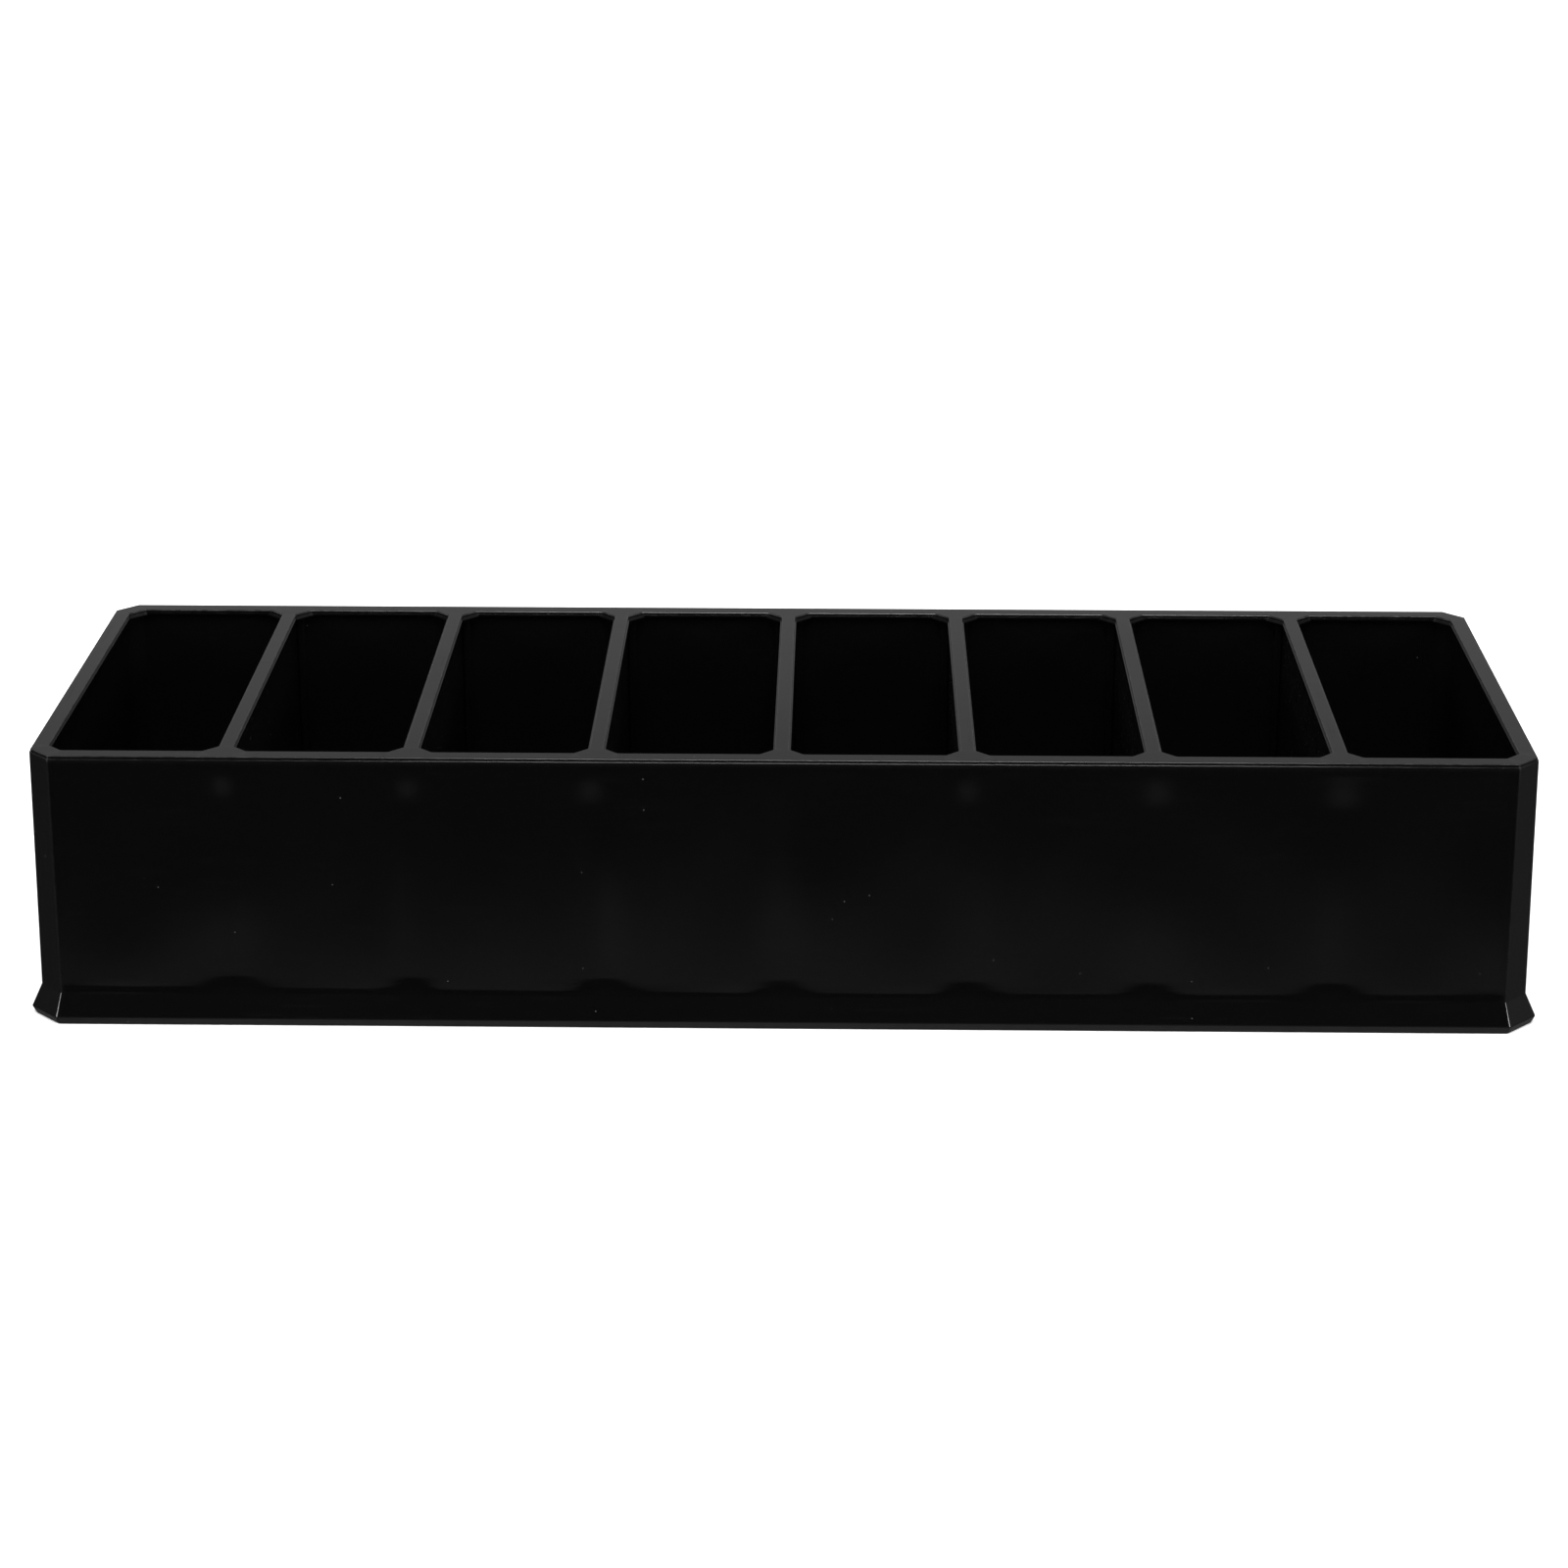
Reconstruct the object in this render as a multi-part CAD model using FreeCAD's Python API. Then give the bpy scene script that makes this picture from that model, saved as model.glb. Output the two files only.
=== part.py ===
import FreeCAD, Part
import os

# Eight-cell open card tray: a moulded box with a flared, stackable skirt, seven
# dividers, a floor panel and a thin top frame that closes the rim.
# Frame: origin at the centre of the footprint on the table, +X along the row of
# cells, -Y the front, +Z up. Millimetres.

os.makedirs("parts", exist_ok=True)

# ---- whole tray ----------------------------------------------------------
CELLS = 8
PITCH = 36.94            # centre to centre of neighbouring cells
HALF_LENGTH = 149.85     # outer wall face at the top, along X
HALF_DEPTH = 50.7        # outer wall face at the top, along Y
HEIGHT = 56.7            # table to the top of the frame
CORNER_CUT = 4.42        # leg of the 45 degree cut on each vertical corner, at the top
FIT = 0.1                # working clearance of the pieces that drop in

# ---- outer wall and skirt ------------------------------------------------
DRAFT = 0.75             # how much further out the wall stands at the crease than at the top
CREASE_Z = 6.22          # where the wall starts to flare outwards
TIP_Z = 1.64             # widest line of the skirt
FLARE = 2.15             # how far the tip stands out from the crease
LIP_IN = 0.77            # how far the bottom lip turns back in, down to the table

# ---- inside of the shell -------------------------------------------------
WALL = 3.0               # wall thickness at the top
INNER_CUT = 3.0          # leg of the 45 degree cut inside each corner
SOCKET_CLEAR = 0.35      # room around the rim of a tray stacked underneath
SOCKET_TOP = 2.4         # depth of that socket
LEDGE_TOP = 4.8          # top of the ledge that carries the floor
LEDGE_IN = 2.5           # how far the ledge stands in from the wall
FLOOR_TOP = 7.2          # cell floor

# ---- top frame -----------------------------------------------------------
FRAME_T = 1.1            # whole thickness
LAND_T = 0.6             # height of the raised land
LAND_INSET = 0.25        # the land stands back this far from every edge
OPENING_HALF_X = 16.74   # half opening of a cell at the flange
OPENING_HALF_Y = 46.55
LAND_CUT = 3.05          # leg of the 45 degree cut in each corner of a land opening

# ---- dividers and guide ribs ---------------------------------------------
DIVIDER_T = 2.4
RIB_W = 1.6              # along X
RIB_D = 2.0              # how far a rib stands in from the wall
FOOT_D = RIB_D - FIT     # the foot ends flush with the ribs

# ---- overlaps that keep the booleans clean -------------------------------
OVERCUT = 1.0            # cutters run this far past the material
RIB_ROOT = 0.5           # ribs sink this far into the wall and the ledge
FOOT_LAP = 1.0           # feet run this far up into the plate
LAND_LAP = 0.1           # the land sinks this far into the flange

# ---- derived places ------------------------------------------------------
MITRE = 2.0 - 2.0 ** 0.5  # growth of a 45 degree leg for each unit of offset
WALL_TOP = HEIGHT - FRAME_T
INNER_X = HALF_LENGTH - WALL
INNER_Y = HALF_DEPTH - WALL
SLOT_HALF = DIVIDER_T / 2 + FIT
DIVIDER_X = [PITCH * (i - (CELLS - 2) / 2) for i in range(CELLS - 1)]
CELL_X = [PITCH * (i - (CELLS - 1) / 2) for i in range(CELLS)]


def octagon(half_x, half_y, cut, z, centre_x=0.0):
    """Corner points of a rectangle with its corners cut off, at height z."""
    corners = [
        (half_x - cut, -half_y), (half_x, -half_y + cut),
        (half_x, half_y - cut), (half_x - cut, half_y),
        (-half_x + cut, half_y), (-half_x, half_y - cut),
        (-half_x, -half_y + cut), (-half_x + cut, -half_y),
    ]
    return [FreeCAD.Vector(centre_x + x, y, z) for x, y in corners]


def outline(offset, z):
    """The tray's top outline moved outwards by offset on all eight sides."""
    return octagon(HALF_LENGTH + offset, HALF_DEPTH + offset, CORNER_CUT + MITRE * offset, z)


def inner_outline(inset, z):
    """The inner wall line moved inwards by inset, with the same corner cut."""
    return octagon(INNER_X - inset, INNER_Y - inset, INNER_CUT, z)


def face_of(points):
    return Part.Face(Part.makePolygon(points + [points[0]]))


def stacked(rings):
    """Closed solid through a stack of rings, low to high."""
    faces = [face_of(rings[0]), face_of(rings[-1])]
    for low, high in zip(rings, rings[1:]):
        for i in range(len(low)):
            j = (i + 1) % len(low)
            faces.append(face_of([low[i], low[j], high[j], high[i]]))
    solid = Part.makeSolid(Part.makeShell(faces))
    # The faces are not consistently wound, so the solid may come out inside out.
    if solid.Volume < 0:
        solid.reverse()
    return solid


def prism(points, top):
    """Upright prism from a level ring of points up to height top."""
    return face_of(points).extrude(FreeCAD.Vector(0, 0, top - points[0].z))


def box(x_range, y_range, z_range):
    """Box between pairs of limits, each given in either order."""
    spans = [sorted(limits) for limits in (x_range, y_range, z_range)]
    sizes = [high - low for low, high in spans]
    return Part.makeBox(*sizes, FreeCAD.Vector(*[low for low, high in spans]))


def save(shape, name):
    shape = shape.removeSplitter()
    if shape.ShapeType == "Compound" and len(shape.Solids) == 1:
        shape = shape.Solids[0]
    shape.exportStep("parts/%s.step" % name)


def guide_ribs():
    """Pairs of ribs on the front and back walls that hold each divider's ends."""
    return [
        box((x + side * SLOT_HALF, x + side * (SLOT_HALF + RIB_W)),
            (end * (INNER_Y + RIB_ROOT), end * (INNER_Y - RIB_D)),
            (LEDGE_TOP - RIB_ROOT, WALL_TOP))
        for x in DIVIDER_X for side in (-1, 1) for end in (-1, 1)
    ]


def outer_shell():
    """Four walls with cut corners, flared skirt, floor ledge and guide ribs."""
    body = stacked([
        outline(DRAFT + FLARE - LIP_IN, 0.0),
        outline(DRAFT + FLARE, TIP_Z),
        outline(DRAFT, CREASE_Z),
        outline(0.0, WALL_TOP),
    ])
    cavity = prism(inner_outline(0.0, LEDGE_TOP), WALL_TOP + OVERCUT)
    through = prism(inner_outline(LEDGE_IN, SOCKET_TOP - OVERCUT), LEDGE_TOP + OVERCUT)
    socket = prism(outline(SOCKET_CLEAR, -OVERCUT), SOCKET_TOP)
    return body.cut(cavity).cut(through).cut(socket).fuse(guide_ribs())


def floor_panel():
    """Panel that drops in on the ledge, notched around the ribs."""
    floor = prism(inner_outline(FIT, LEDGE_TOP), FLOOR_TOP)
    notch_half = SLOT_HALF + RIB_W + FIT
    for x in DIVIDER_X:
        for end in (-1, 1):
            floor = floor.cut(box(
                (x - notch_half, x + notch_half),
                (end * (INNER_Y - RIB_D - FIT), end * (INNER_Y + OVERCUT)),
                (LEDGE_TOP - OVERCUT, FLOOR_TOP + OVERCUT)))
    return floor


def divider(x):
    """Plate between the ribs, with a foot at each end in the floor's notch."""
    thickness = (x - DIVIDER_T / 2, x + DIVIDER_T / 2)
    plate_end = INNER_Y - FIT
    plate = box(thickness, (-plate_end, plate_end), (FLOOR_TOP, WALL_TOP))
    for end in (-1, 1):
        plate = plate.fuse(box(
            thickness,
            (end * plate_end, end * (plate_end - FOOT_D)),
            (LEDGE_TOP, FLOOR_TOP + FOOT_LAP)))
    return plate


def cell_opening(x, offset):
    """Cutter for one cell of the frame, offset outwards from the flange opening."""
    cut = LAND_CUT + MITRE * (offset - LAND_INSET)
    ring = octagon(OPENING_HALF_X + offset, OPENING_HALF_Y + offset, cut,
                   WALL_TOP - OVERCUT, x)
    return prism(ring, HEIGHT + OVERCUT)


def top_frame():
    """Thin flange with a raised land, both pierced by the cell openings."""
    flange_top = HEIGHT - LAND_T
    flange = prism(outline(0.0, WALL_TOP), flange_top)
    land = prism(outline(-LAND_INSET, flange_top - LAND_LAP), HEIGHT)
    for x in CELL_X:
        flange = flange.cut(cell_opening(x, 0.0))
        land = land.cut(cell_opening(x, LAND_INSET))
    return flange.fuse(land)


save(outer_shell(), "outer_shell")
save(floor_panel(), "floor_panel")
for number, x in enumerate(DIVIDER_X, start=1):
    save(divider(x), "divider_%d" % number)
save(top_frame(), "top_frame")
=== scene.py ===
"""A shallow black plastic tray, divided into eight cells side by side.

The tray stands on z = 0 and is centred on x and y: its long side runs along x, -y is the front
and +x is right. It has an outer shell with a flared skirt, a rim frame with one opening per cell,
seven dividers and a floor panel. Outlines and profiles are in millimetres. Meshes, lights and
the camera are in metres.
"""
import math
import bpy
import bmesh
import numpy as np
from mathutils import Matrix, Vector
from mathutils.geometry import delaunay_2d_cdt


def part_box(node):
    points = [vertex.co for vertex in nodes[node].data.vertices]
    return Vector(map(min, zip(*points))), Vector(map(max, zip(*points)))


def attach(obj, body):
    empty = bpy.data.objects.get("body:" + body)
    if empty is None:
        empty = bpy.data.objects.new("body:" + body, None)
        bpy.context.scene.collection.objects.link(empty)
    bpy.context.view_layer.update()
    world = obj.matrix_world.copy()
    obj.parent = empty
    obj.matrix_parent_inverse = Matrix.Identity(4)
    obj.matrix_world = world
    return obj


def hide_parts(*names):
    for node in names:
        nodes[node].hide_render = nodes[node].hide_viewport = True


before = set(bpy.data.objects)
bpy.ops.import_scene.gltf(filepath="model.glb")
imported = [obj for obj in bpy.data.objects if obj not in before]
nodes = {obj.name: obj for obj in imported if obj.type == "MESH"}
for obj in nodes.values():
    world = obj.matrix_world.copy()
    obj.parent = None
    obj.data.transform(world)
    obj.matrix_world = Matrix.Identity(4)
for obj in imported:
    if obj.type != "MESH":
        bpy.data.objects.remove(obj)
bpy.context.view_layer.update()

MM = 0.001

# ---------------------------------------------------------------- driving dimensions, mm
shell_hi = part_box("outer_shell")[1]
frame_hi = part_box("top_frame")[1]
floor_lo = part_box("floor_panel")[0]

HALF_X = frame_hi.x / MM              # outer wall face at the top
HALF_Y = frame_hi.y / MM
TOP = frame_hi.z / MM                 # top of the rim frame
WALL_TOP = shell_hi.z / MM            # top of the shell, where the rim frame begins
CORNER = 4.42                         # corner cut, along each side
MITRE = 2.0 - math.sqrt(2.0)          # growth of a corner cut per mm of outward offset
EDGE_R = 0.32                         # rounding of the vertical edges
SKIRT_R = 0.65                        # the same edges low on the skirt
EDGE_SEG = 4
# Unworn points also carry none of the frame's painted highlight
GUARD = 0.15                          # distance of unworn points from a rounded corner

# Outer profile, from the top down
DRAFT = 0.75                          # how far the wall leans out by the crease
CREASE_Z = 6.22                       # where wall and skirt meet
SKIRT_OUT = shell_hi.x / MM - HALF_X  # how far the skirt's tip stands out
TIP_Z = 1.64
LIP_IN = 0.77                         # how far the lip runs back in below the tip
CREASE_R, TIP_R, FOOT_R = 0.06, 0.20, 0.16
PROFILE_SEG = 6

# Socket under the tray, ledge under the floor panel, and inner walls
SOCKET_CLEAR = 0.35
SOCKET_TOP = 2.4
WALL = 3.0
INNER_X, INNER_Y = HALF_X - WALL, HALF_Y - WALL
INNER_CUT = 3.0
LEDGE_TOP = floor_lo.z / MM
LEDGE_IN = 2.5
LEDGE_R = 0.3

# Cells, and the pairs of guide ribs that hold the dividers
PITCH = 36.94
DIV_X = [PITCH * (i - 3) for i in range(7)]
CELL_X = [PITCH * (i - 3.5) for i in range(8)]
SLOT_HALF, RIB_W, RIB_D = 1.3, 1.6, 2.0
RIB_CHAMFER = 0.25

# Rim frame: a raised land, set back from a low step at every edge
LAND_T = 0.6
LAND_INSET = 0.25
STEP_Z = TOP - LAND_T
FLANGE_X, FLANGE_Y = 16.74, 46.55     # half size of a cell opening
LAND_CUT = 3.05                       # corner cut of an opening
OPENING_R = 0.16
RIM_SEG = 4

# Divisions of the sides of an outline: chamfer, right or left, chamfer, back or front
SHELL_STEPS = (4, 80, 4, 470)
RIM_STEPS = (3, 30, 3, 90)
OPENING_STEPS = (2, 24, 2, 8)


# ---------------------------------------------------------------- outlines and profiles
def smoothstep(start, end, value):
    """0 before start, 1 past end; start may be the larger."""
    t = np.clip((value - start) / (end - start), 0, 1)
    return t * t * (3 - 2 * t)


def cut_rectangle(half_x, half_y, cut):
    """Eight corners, counter-clockwise, from the right end of the front side."""
    return [
        (half_x - cut, -half_y), (half_x, -half_y + cut),
        (half_x, half_y - cut), (half_x - cut, half_y),
        (-half_x + cut, half_y), (-half_x, half_y - cut),
        (-half_x, -half_y + cut), (-half_x + cut, -half_y),
    ]


def shell_outline(offset):
    return cut_rectangle(HALF_X + offset, HALF_Y + offset, CORNER + MITRE * offset)


def round_corner(before, corner, after, radius, seg):
    """The arc's points, and the length it takes from each side."""
    dir_in, dir_out = (corner - before).normalized(), (after - corner).normalized()
    turn = math.atan2(dir_in.x * dir_out.y - dir_in.y * dir_out.x, dir_in.dot(dir_out))
    trim = radius * math.tan(abs(turn) / 2)
    side = 1 if turn > 0 else -1
    start = corner - dir_in * trim
    centre = start + Vector((-dir_in.y, dir_in.x)) * radius * side
    ray = start - centre
    arc = []
    for k in range(seg + 1):
        angle = turn * k / seg
        turned = Vector((ray.x * math.cos(angle) - ray.y * math.sin(angle),
                         ray.x * math.sin(angle) + ray.y * math.cos(angle)))
        arc.append((centre + turned)[:])
    return arc, trim


def rounded(outline, radius, seg, steps):
    """A closed outline with round corners and divided sides, and a mark of 1 on corner points."""
    corners = [Vector(p) for p in outline]
    count = len(corners)
    arcs = [round_corner(corners[i - 1], corners[i], corners[(i + 1) % count], radius, seg)
            for i in range(count)]
    points, marks = [], []
    for i, (arc, trim) in enumerate(arcs):
        following = (i + 1) % count
        along = (corners[following] - corners[i]).normalized()
        start = corners[i] + along * trim
        end = corners[following] - along * arcs[following][1]
        side = []
        # Unmarked points close beside the corners keep the wear, and on the frame the painted
        # highlight, on the edge
        guarded = (end - start).length > 4 * GUARD
        if guarded:
            start, end = start + along * GUARD, end - along * GUARD
            side.append(start[:])
        parts = steps[i % len(steps)]
        side += [start.lerp(end, k / parts)[:] for k in range(1, parts)]
        if guarded:
            side.append(end[:])
        points += arc + side
        marks += [1.0] * len(arc) + [0.0] * len(side)
    return points, marks


def profile_arcs(profile, radii, seg):
    """One arc for each inner point of an open (offset, z) polyline."""
    corners = [Vector(p) for p in profile]
    return [round_corner(*corners[i:i + 3], radius, seg)[0] for i, radius in enumerate(radii)]


# ---------------------------------------------------------------- mesh building
def inside(point, ring):
    result = False
    last = ring[-1]
    for this in ring:
        if (this.y > point.y) != (last.y > point.y):
            cross_x = (last.x - this.x) * (point.y - this.y) / (last.y - this.y) + this.x
            if point.x < cross_x:
                result = not result
        last = this
    return result


class MeshBuilder:
    """Collects vertices in mm and faces, with a mark on each vertex for wear and, on the frame's
    edges, a painted highlight.
    """

    def __init__(self):
        self.points, self.faces, self.wear_and_highlight = [], [], []

    def loop(self, outline, z, wear_and_highlight=None):
        base = len(self.points)
        self.points += [(x, y, z) for x, y in outline]
        self.wear_and_highlight += wear_and_highlight or [0.0] * len(outline)
        return list(range(base, len(self.points)))

    def bridge(self, first, second, flip=False):
        for i in range(len(first)):
            j = (i + 1) % len(first)
            quad = (first[i], first[j], second[j], second[i])
            self.faces.append(tuple(reversed(quad)) if flip else quad)

    def fill(self, outer, holes, up):
        """Flat fill between an outer loop and holes, all at one height."""
        indices, edges, rings, flat = [], [], [], []
        for ring in [outer] + holes:
            base, size = len(indices), len(ring)
            indices += ring
            edges += [(base + i, base + (i + 1) % size) for i in range(size)]
            # Sides are bowed by a hair, here only, so that no three points are in line
            spots = [Vector(self.points[i][:2]) for i in ring]
            rings.append([p * (1.0 - 2e-6 * p.length_squared) for p in spots])
            flat += rings[-1]
        result = delaunay_2d_cdt(flat, edges, [], 0, 1e-10)
        verts, triangles, origins = result[0], result[2], result[3]
        for triangle in triangles:
            middle = sum((verts[i] for i in triangle), Vector((0, 0))) / len(triangle)
            if not inside(middle, rings[0]) or any(inside(middle, r) for r in rings[1:]):
                continue
            face = [indices[origins[i][0]] for i in triangle]
            p0, p1, p2 = (Vector(self.points[i]) for i in face[:3])
            if ((p1 - p0).cross(p2 - p0).z > 0) != up:
                face.reverse()
            self.faces.append(tuple(face))

    def make(self, name, smooth_angle):
        mesh = bpy.data.meshes.new(name)
        mesh.from_pydata((np.array(self.points, float) * MM).tolist(), [], self.faces)
        mesh.validate()
        wear_and_highlight = mesh.attributes.new("wear_and_highlight", "FLOAT", "POINT")
        wear_and_highlight.data.foreach_set("value", np.array(self.wear_and_highlight, np.float32))
        bm = bmesh.new()
        bm.from_mesh(mesh)
        bmesh.ops.recalc_face_normals(bm, faces=bm.faces)
        limit = math.radians(smooth_angle)
        for edge in bm.edges:
            edge.smooth = not (len(edge.link_faces) == 2 and edge.calc_face_angle(0) > limit)
        for face in bm.faces:
            face.smooth = True
        bm.to_mesh(mesh)
        bm.free()
        piece = bpy.data.objects.new(name, mesh)
        bpy.context.scene.collection.objects.link(piece)
        return piece


def register(piece, replaced):
    weighted = piece.modifiers.new("weighted", "WEIGHTED_NORMAL")
    weighted.mode = "FACE_AREA"
    weighted.keep_sharp = True
    weighted.weight = 100
    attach(piece, "root")
    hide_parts(replaced)


# ---------------------------------------------------------------- outer shell
def wall_rows(lowest):
    """Points up the tall wall, listed from the top: fine rows near the crease, wider above."""
    heights = [lowest]
    while heights[-1] < WALL_TOP:
        widen = float(np.clip((heights[-1] - 8.0) / 16.0, 0, 1)) ** 1.5
        heights.append(heights[-1] + 0.17 + 0.50 * widen)
    scale = (WALL_TOP - lowest) / (heights[-1] - lowest)
    heights = [lowest + (z - lowest) * scale for z in reversed(heights)]
    return [((WALL_TOP - z) / (WALL_TOP - CREASE_Z) * DRAFT, z) for z in heights]


def divide(start, end, parts):
    """Points between start and end, with a narrow row at each end to keep the face flat."""
    places = [0.25, *range(1, parts), parts - 0.25]
    return [(start[0] + (end[0] - start[0]) * k / parts,
             start[1] + (end[1] - start[1]) * k / parts) for k in places]


def shell_profile():
    """The outer face as (offset, z) from the wall's top to the underside, with wear marks."""
    bottom = (SOCKET_CLEAR, 0.0)
    crease, tip, foot = profile_arcs(
        [(0.0, WALL_TOP), (DRAFT, CREASE_Z), (SKIRT_OUT, TIP_Z), (SKIRT_OUT - LIP_IN, 0.0),
         bottom],
        [CREASE_R, TIP_R, FOOT_R], PROFILE_SEG)
    wall = wall_rows(crease[0][1] + 0.1)
    skirt = divide(crease[-1], tip[0], 8)
    lip = divide(tip[-1], foot[0], 4)
    profile = wall + crease + skirt + tip + lip + foot + [bottom]
    marks = [0.2] + [0.0] * (len(wall) - 1 + len(crease) + len(skirt))
    marks += [0.0, 0.0, 0.1, 0.3, 0.5, 0.6, 0.6]  # round the tip
    marks += [0.6] * len(lip) + [1.0] * len(foot) + [0.0]
    return profile, marks


def inner_outline():
    """The inner walls, counter-clockwise, with a pair of ribs at each divider, front and back."""
    tip_y = -INNER_Y + RIB_D
    half = [(-INNER_X + INNER_CUT, -INNER_Y)]
    for x in DIV_X:
        for x0, x1 in ((x - SLOT_HALF - RIB_W, x - SLOT_HALF),
                       (x + SLOT_HALF, x + SLOT_HALF + RIB_W)):
            half += [(x0, -INNER_Y), (x0, tip_y - RIB_CHAMFER), (x0 + RIB_CHAMFER, tip_y),
                     (x1 - RIB_CHAMFER, tip_y), (x1, tip_y - RIB_CHAMFER), (x1, -INNER_Y)]
    half += [(INNER_X - INNER_CUT, -INNER_Y), (INNER_X, -INNER_Y + INNER_CUT),
             (INNER_X, INNER_Y - INNER_CUT)]
    # The other half is the same, turned half a turn about z
    return half + [(-x, -y) for x, y in half]


# Sink marks, one row per divider from left to right, in mm: groove depth, height where it fades
# (None: a long fade), spread of that fade as a factor, depth of the low plume, half width at
# the foot and near the top, and sideways shift near the top and low down on the front
SINK_MARKS = [
    (0.124, 50.8, 1.15, 0.035, 4.0, 3.1, -0.1, 0.1),
    (0.118, 50.5, 1.10, 0.060, 3.2, 3.3, -0.3, -0.7),
    (0.122, 50.4, 1.15, 0.080, 4.0, 3.2, -0.7, 0.9),
    (0.085, None, 1.00, 0.090, 4.0, 2.5, 0.2, 0.0),
    (0.118, 50.7, 1.10, 0.055, 4.0, 3.2, 0.1, 0.4),
    (0.112, 50.5, 1.15, 0.050, 4.0, 3.3, 0.5, 0.3),
    (0.160, 50.2, 1.30, 0.055, 4.0, 4.6, 0.1, -0.2),
]
END_MARK_X = 142.5                            # the wide, shallow marks near the end walls
END_MARKS = ((-1, 0.018), (1, 0.008))         # side in x, depth
LONG_WAVE, END_WAVE = 0.012, 0.010            # waviness of the long and the end faces


def waves(rng, count, lengths, across, z):
    """A sum of random ripples, over a horizontal axis and z."""
    total = np.zeros_like(z)
    for _ in range(count):
        length, length_z = rng.uniform(*lengths), rng.uniform(22, 60)
        phase, phase_z = rng.uniform(0, 6.28, 2)
        total += (rng.uniform(0.3, 1.0) * np.sin(6.2832 * across / length + phase)
                  * np.sin(6.2832 * z / length_z + phase_z))
    return total


def sink_depth(x, z, side, rng):
    """How far the front (side -1) or back (side 1) wall has drawn in over the ribs."""
    depth = np.zeros_like(x)
    rise = smoothstep(CREASE_Z - 0.2, CREASE_Z + 4.0, z)
    top_mix = smoothstep(8.0, 40.0, z)
    plume_z = smoothstep(CREASE_Z, CREASE_Z + 2.0, z) * (1 - smoothstep(9.0, 36.0, z))
    for div_x, row in zip(DIV_X, SINK_MARKS):
        groove, fade_z, spread, plume, foot_width, top_width, shift_top, shift_low = row
        if side > 0:
            groove *= rng.uniform(0.8, 1.1)
            plume *= rng.uniform(0.7, 1.2)
            shift_top, shift_low = rng.uniform(-0.6, 0.6, 2)
        width = foot_width + (top_width - foot_width) * top_mix
        middle = div_x + shift_low + (shift_top - shift_low) * top_mix
        if fade_z:
            fall = 1 - smoothstep(fade_z - 3.4 * spread, fade_z + 3.4 * spread, z)
        else:
            fall = 1 - smoothstep(14.0, 54.0, z)
        depth += groove * np.exp(-((x - middle) / width) ** 2) * rise * fall
        depth += plume * np.exp(-((x - div_x - shift_low * 2) / 4.8) ** 2) * plume_z
    end_z = smoothstep(CREASE_Z - 0.2, CREASE_Z + 3.2, z) * (1 - smoothstep(10.0, 44.0, z))
    for end, amount in END_MARKS:
        depth += amount * np.exp(-((x - end * END_MARK_X) / 6.0) ** 2) * end_z
    return depth


def relax_faces(points):
    """Adds sink marks and slight waviness to the outer faces; points is an array in mm."""
    x, y, z = points.T
    face_offset = np.interp(z, [0, TIP_Z, CREASE_Z, WALL_TOP],
                            [SKIRT_OUT - LIP_IN, SKIRT_OUT, DRAFT, 0])
    on_face = smoothstep(0.0, 3.0, (HALF_X + face_offset - CORNER) - np.abs(x))
    on_wall = smoothstep(CREASE_Z - 0.05, CREASE_Z + 0.05, z)
    wavy = (smoothstep(CREASE_Z - 0.5, CREASE_Z + 3.0, z)
            * (1 - smoothstep(WALL_TOP - 3.2, WALL_TOP - 0.6, z)))
    # The wall sweeps out by a hair as it runs into the crease
    reach = 1.0 + 0.75 * (np.abs(x) / 140.0) ** 1.5
    sweep = (0.043 * (1 - smoothstep(0, 1, (z - CREASE_Z) / reach))
             * np.clip((z - TIP_Z) / (CREASE_Z - TIP_Z), 0, 1))
    for side, seed in ((-1, 7), (1, 11)):
        rng = np.random.RandomState(seed)
        chosen = (y * side > HALF_Y - 0.5) & (np.abs(x) < HALF_X)
        depth = sink_depth(x, z, side, rng)
        depth += LONG_WAVE * waves(rng, 9, (28, 95), x, z) * wavy
        y = np.where(chosen, y - side * (depth * on_wall - sweep) * on_face, y)
    rng = np.random.RandomState(23)
    for side in (-1, 1):
        chosen = (x * side > HALF_X - 0.5) & (np.abs(y) < HALF_Y - CORNER)
        fade = smoothstep(0.0, 6.0, (HALF_Y - CORNER) - np.abs(y))
        ripple = waves(rng, 6, (26, 80), y, z)
        x = np.where(chosen, x - side * END_WAVE * ripple * fade * wavy, x)
    return np.column_stack((x, y, z))


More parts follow.
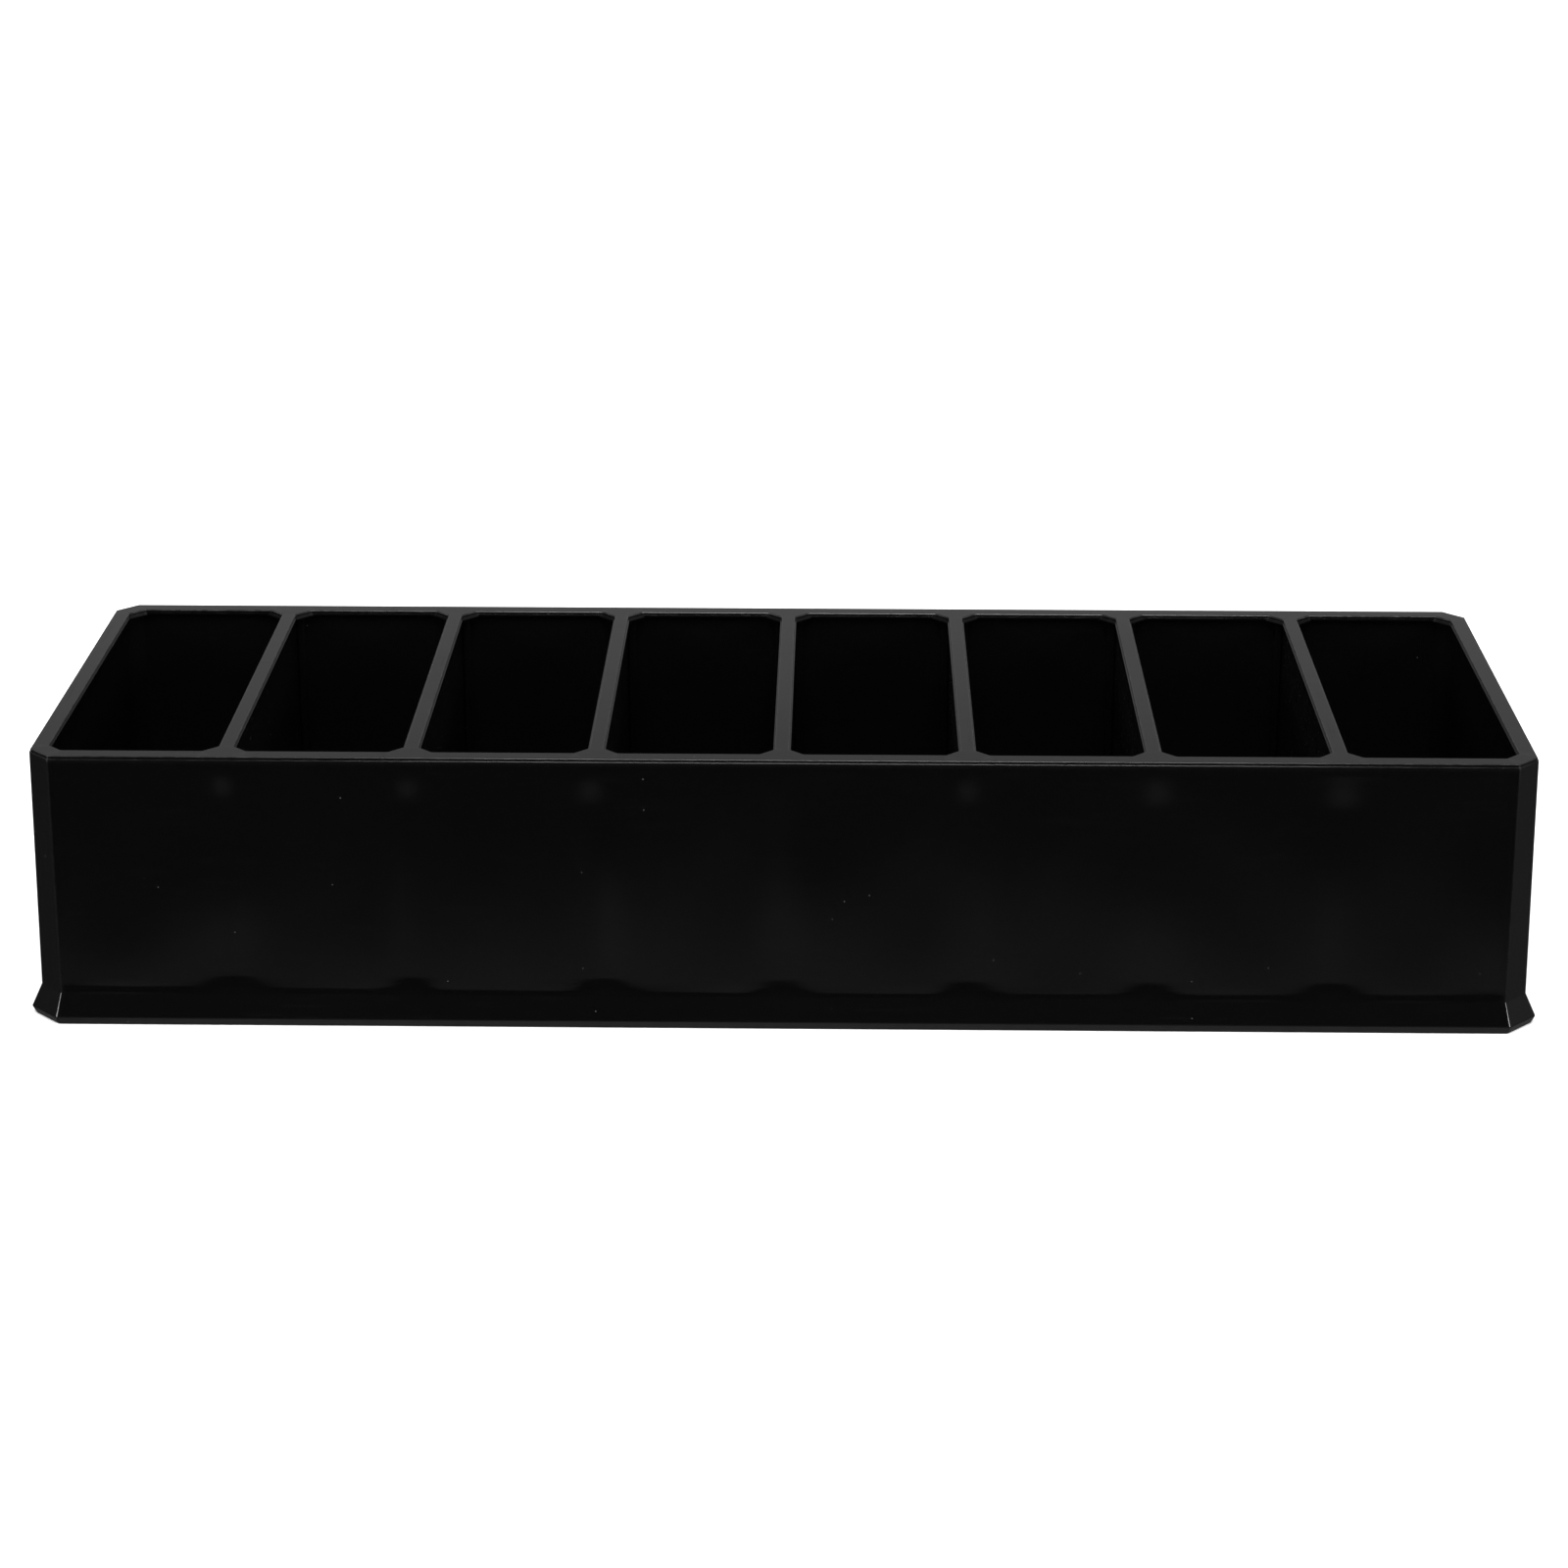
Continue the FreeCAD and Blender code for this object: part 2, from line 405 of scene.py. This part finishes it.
def build_shell():
    """The shell object, and the indices of its inner wall faces."""
    build = MeshBuilder()
    loops = []
    for (offset, z), mark in zip(*shell_profile()):
        low = float(smoothstep(CREASE_Z - 0.3, TIP_Z + 0.6, z))
        outline, corner_marks = rounded(shell_outline(offset),
                                        EDGE_R + (SKIRT_R - EDGE_R) * low, EDGE_SEG, SHELL_STEPS)
        loops.append(build.loop(outline, z, [max(mark, c) for c in corner_marks]))
    outer_count = len(build.points)

    ledge = cut_rectangle(INNER_X - LEDGE_IN, INNER_Y - LEDGE_IN, INNER_CUT)
    for outline, radius, z in ((shell_outline(SOCKET_CLEAR), EDGE_R, SOCKET_TOP),
                               (ledge, LEDGE_R, SOCKET_TOP),
                               (ledge, LEDGE_R, LEDGE_TOP)):
        loops.append(build.loop(rounded(outline, radius, EDGE_SEG, SHELL_STEPS)[0], z))
    for upper, lower in zip(loops, loops[1:]):
        build.bridge(lower, upper)

    inner = inner_outline()
    inner_low = build.loop(inner, LEDGE_TOP)
    inner_high = build.loop(inner, WALL_TOP)
    build.bridge(inner_high, inner_low)
    build.fill(inner_low, [loops[-1]], up=True)
    build.fill(loops[0], [inner_high], up=True)

    points = np.array(build.points, float)
    points[:outer_count] = relax_faces(points[:outer_count])
    build.points = [tuple(p) for p in points]
    inner_set = set(inner_low + inner_high)
    inner_faces = [i for i, face in enumerate(build.faces) if inner_set.issuperset(face)]
    return build.make("shell_walls_and_skirt", smooth_angle=40.0), inner_faces


shell, shell_inner_faces = build_shell()
register(shell, "outer_shell")


# ---------------------------------------------------------------- rim frame
def rim_profile(step_r, cove_r, land_r, land_worn_and_highlit):
    """An edge of the frame as (offset, z) from the wall's top to the land, with marks for edge
    wear, which the frame's light worn grey also turns into a painted highlight.
    """
    step, cove, land = profile_arcs(
        [(0.0, WALL_TOP), (0.0, STEP_Z), (-LAND_INSET, STEP_Z), (-LAND_INSET, TOP),
         (-LAND_INSET - 1.0, TOP)],
        [step_r, cove_r, land_r], RIM_SEG)
    profile = [(0.0, WALL_TOP), (0.0, step[0][1] - 0.06)] + step
    profile += [((step[-1][0] + cove[0][0]) / 2, STEP_Z)] + cove
    profile += [(-LAND_INSET, cove[-1][1] + 0.1), (-LAND_INSET, land[0][1] - 0.06)] + land
    profile += [(land[-1][0] - 0.08, TOP)]
    marks = [0.0] * 2 + [0.6] * len(step) + [0.0] * (len(cove) + 3)
    marks += [land_worn_and_highlit] * len(land) + [0.0]
    return profile, marks


def rim_edge(offset, z):
    return rounded(shell_outline(offset), EDGE_R, EDGE_SEG, RIM_STEPS)


def opening_edge(cell_x, offset, z):
    """Offset counts into the opening: 0 at the flange's edge, negative towards the plastic."""
    # The corner cuts lean with height, more steeply below the step
    lean = (0.42 if z < STEP_Z else 0.30) * (STEP_Z - z)
    cut = LAND_CUT - MITRE * (LAND_INSET + offset) + lean
    outline = cut_rectangle(FLANGE_X - offset, FLANGE_Y - offset, cut)
    points, marks = rounded(outline, OPENING_R, 3, OPENING_STEPS)
    return [(cell_x + x, y) for x, y in points], marks


def band(build, outline_at, profile, marks, flip=False):
    """Sweeps a profile round an outline; returns the lowest and the highest loop."""
    loops = []
    for (offset, z), mark in zip(profile, marks):
        outline, corner_marks = outline_at(offset, z)
        loops.append(build.loop(outline, z, [max(mark, c * 0.5) for c in corner_marks]))
    for lower, upper in zip(loops, loops[1:]):
        build.bridge(lower, upper, flip)
    return loops[0], loops[-1]


def build_rim():
    build = MeshBuilder()
    # The marks on the land's rounded edges carry wear and a painted highlight line
    outer_low, outer_high = band(
        build, rim_edge, *rim_profile(step_r=0.045, cove_r=0.04, land_r=0.10, land_worn_and_highlit=0.8))
    profile, marks = rim_profile(step_r=0.006, cove_r=0.008, land_r=0.19, land_worn_and_highlit=1.0)
    low_holes, high_holes = [], []
    for cell_x in CELL_X:
        low, high = band(build, lambda offset, z: opening_edge(cell_x, offset, z),
                         profile, marks, flip=True)
        low_holes.append(low)
        high_holes.append(high)
    build.fill(outer_low, low_holes, up=False)
    build.fill(outer_high, high_holes, up=True)
    return build.make("rim_frame", smooth_angle=35.0)


rim = build_rim()
register(rim, "top_frame")


# ---------------------------------------------------------------- dividers and floor panel
# These keep the CAD solids, with eased edges
inner_pieces = [piece for name, piece in nodes.items()
                if name.startswith("divider") or name == "floor_panel"]
for piece in inner_pieces:
    weld = piece.modifiers.new("weld", "WELD")
    weld.merge_threshold = 1e-6
    ease = piece.modifiers.new("ease", "BEVEL")
    ease.width = 0.12 * MM
    ease.segments = 2
    ease.limit_method = "ANGLE"
    ease.angle_limit = math.radians(40)
    ease.harden_normals = True


# ---------------------------------------------------------------- shader graphs
class Graph:
    """Short calls for building a node tree. An input is a value, or a socket to link."""

    def __init__(self, owner):
        owner.use_nodes = True
        self.tree = owner.node_tree
        self.tree.nodes.clear()

    def node(self, kind, inputs=None, **settings):
        node = self.tree.nodes.new("ShaderNode" + kind)
        for name, value in settings.items():
            setattr(node, name, value)
        for key, value in (inputs or {}).items():
            if isinstance(value, bpy.types.NodeSocket):
                self.tree.links.new(value, node.inputs[key])
            else:
                node.inputs[key].default_value = value
        return node.outputs

    def calc(self, operation, *values, clamp=False):
        return self.node("Math", dict(enumerate(values)), operation=operation, use_clamp=clamp)[0]

    def ramp(self, source, stops):
        """A grey ramp; stops are (position, value)."""
        colours = self.node("ValToRGB", {0: source})[0]
        elements = colours.node.color_ramp.elements
        while len(elements) > 1:
            elements.remove(elements[-1])
        elements[0].position = stops[0][0]
        elements[0].color = (stops[0][1],) * 3 + (1,)
        for position, value in stops[1:]:
            elements.new(position).color = (value, value, value, 1)
        return colours

    def mix(self, data_type, factor, first, second):
        inputs = {"Factor": factor, "A": first, "B": second}
        return self.node("Mix", inputs, data_type=data_type)["Result"]

    def ease(self, source, start, end, before=0.0, after=1.0):
        inputs = {"Value": source, "From Min": start, "From Max": end,
                  "To Min": before, "To Max": after}
        return self.node("MapRange", inputs, interpolation_type="SMOOTHSTEP")["Result"]

    def noise(self, vector, scale, detail, roughness=0.5):
        return self.node("TexNoise", {"Vector": vector, "Scale": scale, "Detail": detail,
                                      "Roughness": roughness})["Fac"]

    def scratches(self, vector, rotation, stretch, scale, start, end):
        """Thin streaks along the axis that is stretched least."""
        turned = self.node("Mapping", {0: vector, "Rotation": rotation, "Scale": stretch})[0]
        return self.ramp(self.noise(turned, scale=scale, detail=2.0), [(start, 0.0), (end, 1.0)])


# ---------------------------------------------------------------- plastics
def cool_grey(value):
    return (value, value, value * 1.02, 1)


def plastic(name, grey, rough, haze_rough, worn_and_highlight_grey, dust, scratch, seed,
            peel=1.0, pointiness=False):
    """Black moulded plastic with haze, edge wear, fine scratches and specks of dust; a light worn
    grey also makes the edge wear a painted highlight.
    """
    material = bpy.data.materials.new(name)
    graph = Graph(material)
    calc = graph.calc
    place = graph.node("Mapping", {0: graph.node("TexCoord")["Object"],
                                   "Location": (seed, seed * 0.37, seed * 0.71)})[0]

    # Uneven pigment, broad patches of handling haze, and grain
    clouds = graph.noise(place, scale=38.0, detail=4.0)
    haze = graph.ramp(graph.noise(place, scale=21.0, detail=5.0, roughness=0.6),
                      [(0.42, 0.0), (0.68, 1.0)])
    grain = graph.noise(place, scale=900.0, detail=2.0)

    # Wear on the marked edges, and on all convex ones if pointiness is set, broken up; a light
    # worn grey also paints a highlight there
    worn_and_lit_edges = graph.node("Attribute", attribute_name="wear_and_highlight")["Fac"]
    if pointiness:
        sharp = graph.node("NewGeometry")["Pointiness"]
        worn_and_lit_edges = calc("MAXIMUM", worn_and_lit_edges, graph.ramp(sharp, [(0.53, 0.0), (0.62, 1.0)]))
    patches = graph.ramp(graph.noise(place, scale=420.0, detail=4.0, roughness=0.65),
                         [(0.38, 0.25), (0.66, 1.0)])
    wear_and_highlight = calc("MULTIPLY", worn_and_lit_edges, patches)

    # Scratches in two directions
    scratches = calc(
        "MAXIMUM",
        graph.scratches(place, rotation=(0.35, 0.6, 0.5), stretch=(1.0, 26.0, 26.0),
                        scale=58.0, start=0.64, end=0.70),
        graph.scratches(place, rotation=(1.1, -0.4, -0.9), stretch=(30.0, 1.0, 30.0),
                        scale=47.0, start=0.66, end=0.72))

    # Dust: a speck in the middle of a few of the Voronoi cells
    cells = graph.node("TexVoronoi", {"Vector": place, "Scale": 400.0, "Randomness": 1.0},
                       feature="F1")
    near = calc("LESS_THAN", cells["Distance"], 0.042)
    chosen = calc("LESS_THAN", graph.node("SeparateColor", {0: cells["Color"]})[0], dust)
    speck = calc("MULTIPLY", near, chosen)

    colour = graph.mix("RGBA", clouds, cool_grey(grey * 0.85), cool_grey(grey * 1.15))
    # Marked edges take the worn grey: real wear, and where that grey is light, as on the frame, a
    # painted highlight
    colour = graph.mix("RGBA", calc("MULTIPLY", wear_and_highlight, 0.55), colour, cool_grey(worn_and_highlight_grey))
    colour = graph.mix("RGBA", speck, colour, (0.060, 0.059, 0.057, 1))

    roughness = calc("MULTIPLY_ADD", haze, haze_rough, rough)
    roughness = calc("MULTIPLY_ADD", grain, 0.02, roughness)
    roughness = calc("MULTIPLY_ADD", scratches, 0.06, roughness)
    roughness = calc("MULTIPLY_ADD", wear_and_highlight, 0.10, roughness)
    roughness = calc("MULTIPLY_ADD", speck, 0.5, roughness, clamp=True)

    # Relief in metres: orange peel, scratches and grain
    orange_peel = graph.noise(place, scale=260.0, detail=2.0)
    relief = calc("ADD", calc("MULTIPLY", orange_peel, 0.0000022 * peel),
                  calc("MULTIPLY", scratches, -0.000004 * scratch))
    relief = calc("ADD", relief, calc("MULTIPLY", grain, 0.0000006))
    normal = graph.node("Bump", {"Strength": 1.0, "Distance": 1.0, "Height": relief})[0]

    surface = graph.node("BsdfPrincipled", {"Base Color": colour, "Roughness": roughness,
                                            "IOR": 1.49, "Normal": normal})[0]
    graph.node("OutputMaterial", {0: surface})
    return material


def assign(piece, material):
    piece.data.materials.clear()
    piece.data.materials.append(material)


shell_mat = plastic("black_gloss_shell", grey=0.00098, rough=0.065, haze_rough=0.025,
                    worn_and_highlight_grey=0.006, dust=0.13, scratch=0.15, seed=3.1)
# The frame's light worn grey is partly edge wear and partly a painted highlight along its edges
frame_mat = plastic("black_satin_frame", grey=0.00110, rough=0.12, haze_rough=0.03,
                    worn_and_highlight_grey=0.040, dust=0.05, scratch=0.08, seed=7.7, peel=0.35)
inner_mat = plastic("black_inner", grey=0.00110, rough=0.12, haze_rough=0.03,
                    worn_and_highlight_grey=0.006, dust=0.0, scratch=0.0, seed=12.9, peel=0.1,
                    pointiness=True)
# The cell walls are the shell's own plastic made lighter here: painted light that lifts the shade
# inside the cells
cavity_lit_mat = plastic("black_cavity_lightened", grey=0.0014, rough=0.16, haze_rough=0.04,
                     worn_and_highlight_grey=0.006, dust=0.03, scratch=0.0, seed=17.3)

assign(shell, shell_mat)
shell.data.materials.append(cavity_lit_mat)
for index in shell_inner_faces:
    shell.data.polygons[index].material_index = 1
assign(rim, frame_mat)
for piece in inner_pieces:
    assign(piece, inner_mat)
assign(nodes["outer_shell"], shell_mat)
assign(nodes["top_frame"], frame_mat)


# ---------------------------------------------------------------- stage
def pale_floor():
    """Diffuse from above, clear from below."""
    material = bpy.data.materials.new("pale_floor")
    graph = Graph(material)
    above = graph.node("BsdfDiffuse", {"Color": (0.86, 0.86, 0.86, 1)})[0]
    below = graph.node("BsdfTransparent")[0]
    backfacing = graph.node("NewGeometry")["Backfacing"]
    surface = graph.node("MixShader", {0: backfacing, 1: above, 2: below})[0]
    graph.node("OutputMaterial", {0: surface})
    return material


bpy.ops.mesh.primitive_plane_add(size=8.0, location=(0, 0, 0))
floor = bpy.context.object
floor.name = "floor"
floor.location.z = -0.0001
assign(floor, pale_floor())
floor.visible_glossy = False


# ---------------------------------------------------------------- world
# What the plastic reflects, as (elevation in degrees, brightness)
SIDE_SKY = [
    (-90, 0.15), (-50, 0.12), (-25, 0.088), (-10, 0.084), (4, 0.08), (8, 0.160), (12.5, 0.160),
    (16, 0.30), (21, 0.30), (24, 0.045), (34, 0.048), (50, 0.10), (90, 0.30)]
# Front and back: a pale part low down, a drop, then a dark part with a bright band above it
LOW_SKY = [(-90, 0.28), (-60, 0.27), (-30, 0.16), (-25, 0.16), (-21.7, 0.165)]
GENTLE_DROP = [(-21.0, 0.114), (-20.5, 0.072), (-20.0, 0.037), (-19.5, 0.012)]
STEEP_DROP = [(-21.3, 0.162), (-20.85, 0.105), (-20.45, 0.035), (-20.0, 0.008)]
HIGH_SKY = [
    (-18.8, 0.006), (-16.5, 0.014), (-8, 0.03), (4, 0.03), (9, 0.35), (17, 0.35), (20, 0.28),
    (22, 0.22), (24.0, 0.022), (50, 0.03), (90, 0.30)]
FRONT_DIMMING = [(2, 1.0), (8, 0.7), (21, 0.7), (25, 1.0)]  # a factor, in front only


def build_world():
    """Even white light, but a graded surround for glossy rays."""
    world = bpy.data.worlds.new("studio")
    bpy.context.scene.world = world
    graph = Graph(world)
    calc = graph.calc
    axes = graph.node("SeparateXYZ", {0: graph.node("TexCoord")["Generated"]})
    up = axes["Z"]
    level_squared = calc("SUBTRACT", 1.0, calc("MULTIPLY", up, up))
    level = calc("SQRT", calc("MAXIMUM", level_squared, 1e-6))
    # Horizontal heading: rightward and backward parts
    right = calc("DIVIDE", axes["X"], level)
    back = calc("DIVIDE", axes["Y"], level)
    degrees = calc("MULTIPLY_ADD", calc("ARCSINE", up), 57.29578, 90.0)
    height = calc("DIVIDE", degrees, 180.0)

    def sky(stops):
        return graph.ramp(height, [((degree + 90) / 180, value) for degree, value in stops])

    # The drop is steep on the left, gentle on the right
    long_sky = graph.mix("FLOAT", graph.ease(right, -0.115, -0.02, before=1.0, after=0.0),
                         sky(LOW_SKY + GENTLE_DROP + HIGH_SKY),
                         sky(LOW_SKY + STEEP_DROP + HIGH_SKY))
    dimming = graph.mix("FLOAT", graph.ease(back, -0.5, 0.2), sky(FRONT_DIMMING), 1.0)
    long_sky = calc("MULTIPLY", long_sky, dimming)
    # The right side is brighter than the left
    side_sky = calc("MULTIPLY", sky(SIDE_SKY), calc("MULTIPLY_ADD", right, 0.33, 1.0))
    to_side = graph.ease(calc("ABSOLUTE", right), 0.45, 0.85)
    surround = graph.mix("FLOAT", to_side, long_sky, side_sky)

    even = graph.node("Background", {"Color": (1, 1, 1, 1), "Strength": 1.05})[0]
    graded = graph.node("Background", {"Color": surround, "Strength": 1.0})[0]
    is_glossy = graph.node("LightPath")["Is Glossy Ray"]
    surface = graph.node("MixShader", {0: is_glossy, 1: even, 2: graded})[0]
    graph.node("OutputWorld", {0: surface})
    world.cycles.sampling_method = "NONE"


build_world()

# ---------------------------------------------------------------- lights
LIGHT_DISTANCE = 1.4
AIM_Z = 0.003


def softbox(name, azimuth, elevation, width, height, radiance):
    """A rectangular light aimed at the tray; azimuth 0 is in front, positive to the right."""
    turn, rise = math.radians(azimuth), math.radians(elevation)
    place = Vector((math.sin(turn) * math.cos(rise) * LIGHT_DISTANCE,
                    -math.cos(turn) * math.cos(rise) * LIGHT_DISTANCE,
                    math.sin(rise) * LIGHT_DISTANCE + AIM_Z))
    light = bpy.data.lights.new(name, "AREA")
    light.shape = "RECTANGLE"
    light.size, light.size_y = width, height
    light.energy = radiance * math.pi * width * height
    holder = bpy.data.objects.new(name, light)
    bpy.context.scene.collection.objects.link(holder)
    holder.location = place
    holder.rotation_mode = "QUATERNION"
    holder.rotation_quaternion = (Vector((0, 0, AIM_Z)) - place).to_track_quat("-Z", "Y")


for side, tag in ((-1, "left"), (1, "right")):
    softbox("key_" + tag, azimuth=57 * side, elevation=24, width=0.6, height=0.26,
            radiance=15.0)
    softbox("back_" + tag, azimuth=121 * side, elevation=24, width=0.5, height=0.26,
            radiance=5.0)
softbox("high_front", azimuth=1.5, elevation=61, width=0.52, height=0.62, radiance=20.0)

# ---------------------------------------------------------------- camera and view
CAMERA_PLACE = (0.01128822, -0.73366770, 0.30088622)
CAMERA_TURN = Matrix(((0.999872301, -0.00600639743, 0.0148089510),
                      (0.0159704993, 0.342509206, -0.939378724),
                      (0.000570079918, 0.939495272, 0.342561393)))

scene = bpy.context.scene
lens = bpy.data.cameras.new("view")
camera = bpy.data.objects.new("view", lens)
scene.collection.objects.link(camera)
lens.type = "PERSP"
lens.sensor_fit = "HORIZONTAL"
lens.sensor_width = 36.0
lens.lens = 84.4363
lens.clip_start, lens.clip_end = 0.01, 20
camera.matrix_world = Matrix.Translation(CAMERA_PLACE) @ CAMERA_TURN.to_4x4()
scene.camera = camera

scene.view_settings.view_transform = "Standard"
scene.view_settings.look = "None"
scene.view_settings.exposure = 0.0
scene.view_settings.gamma = 1.0
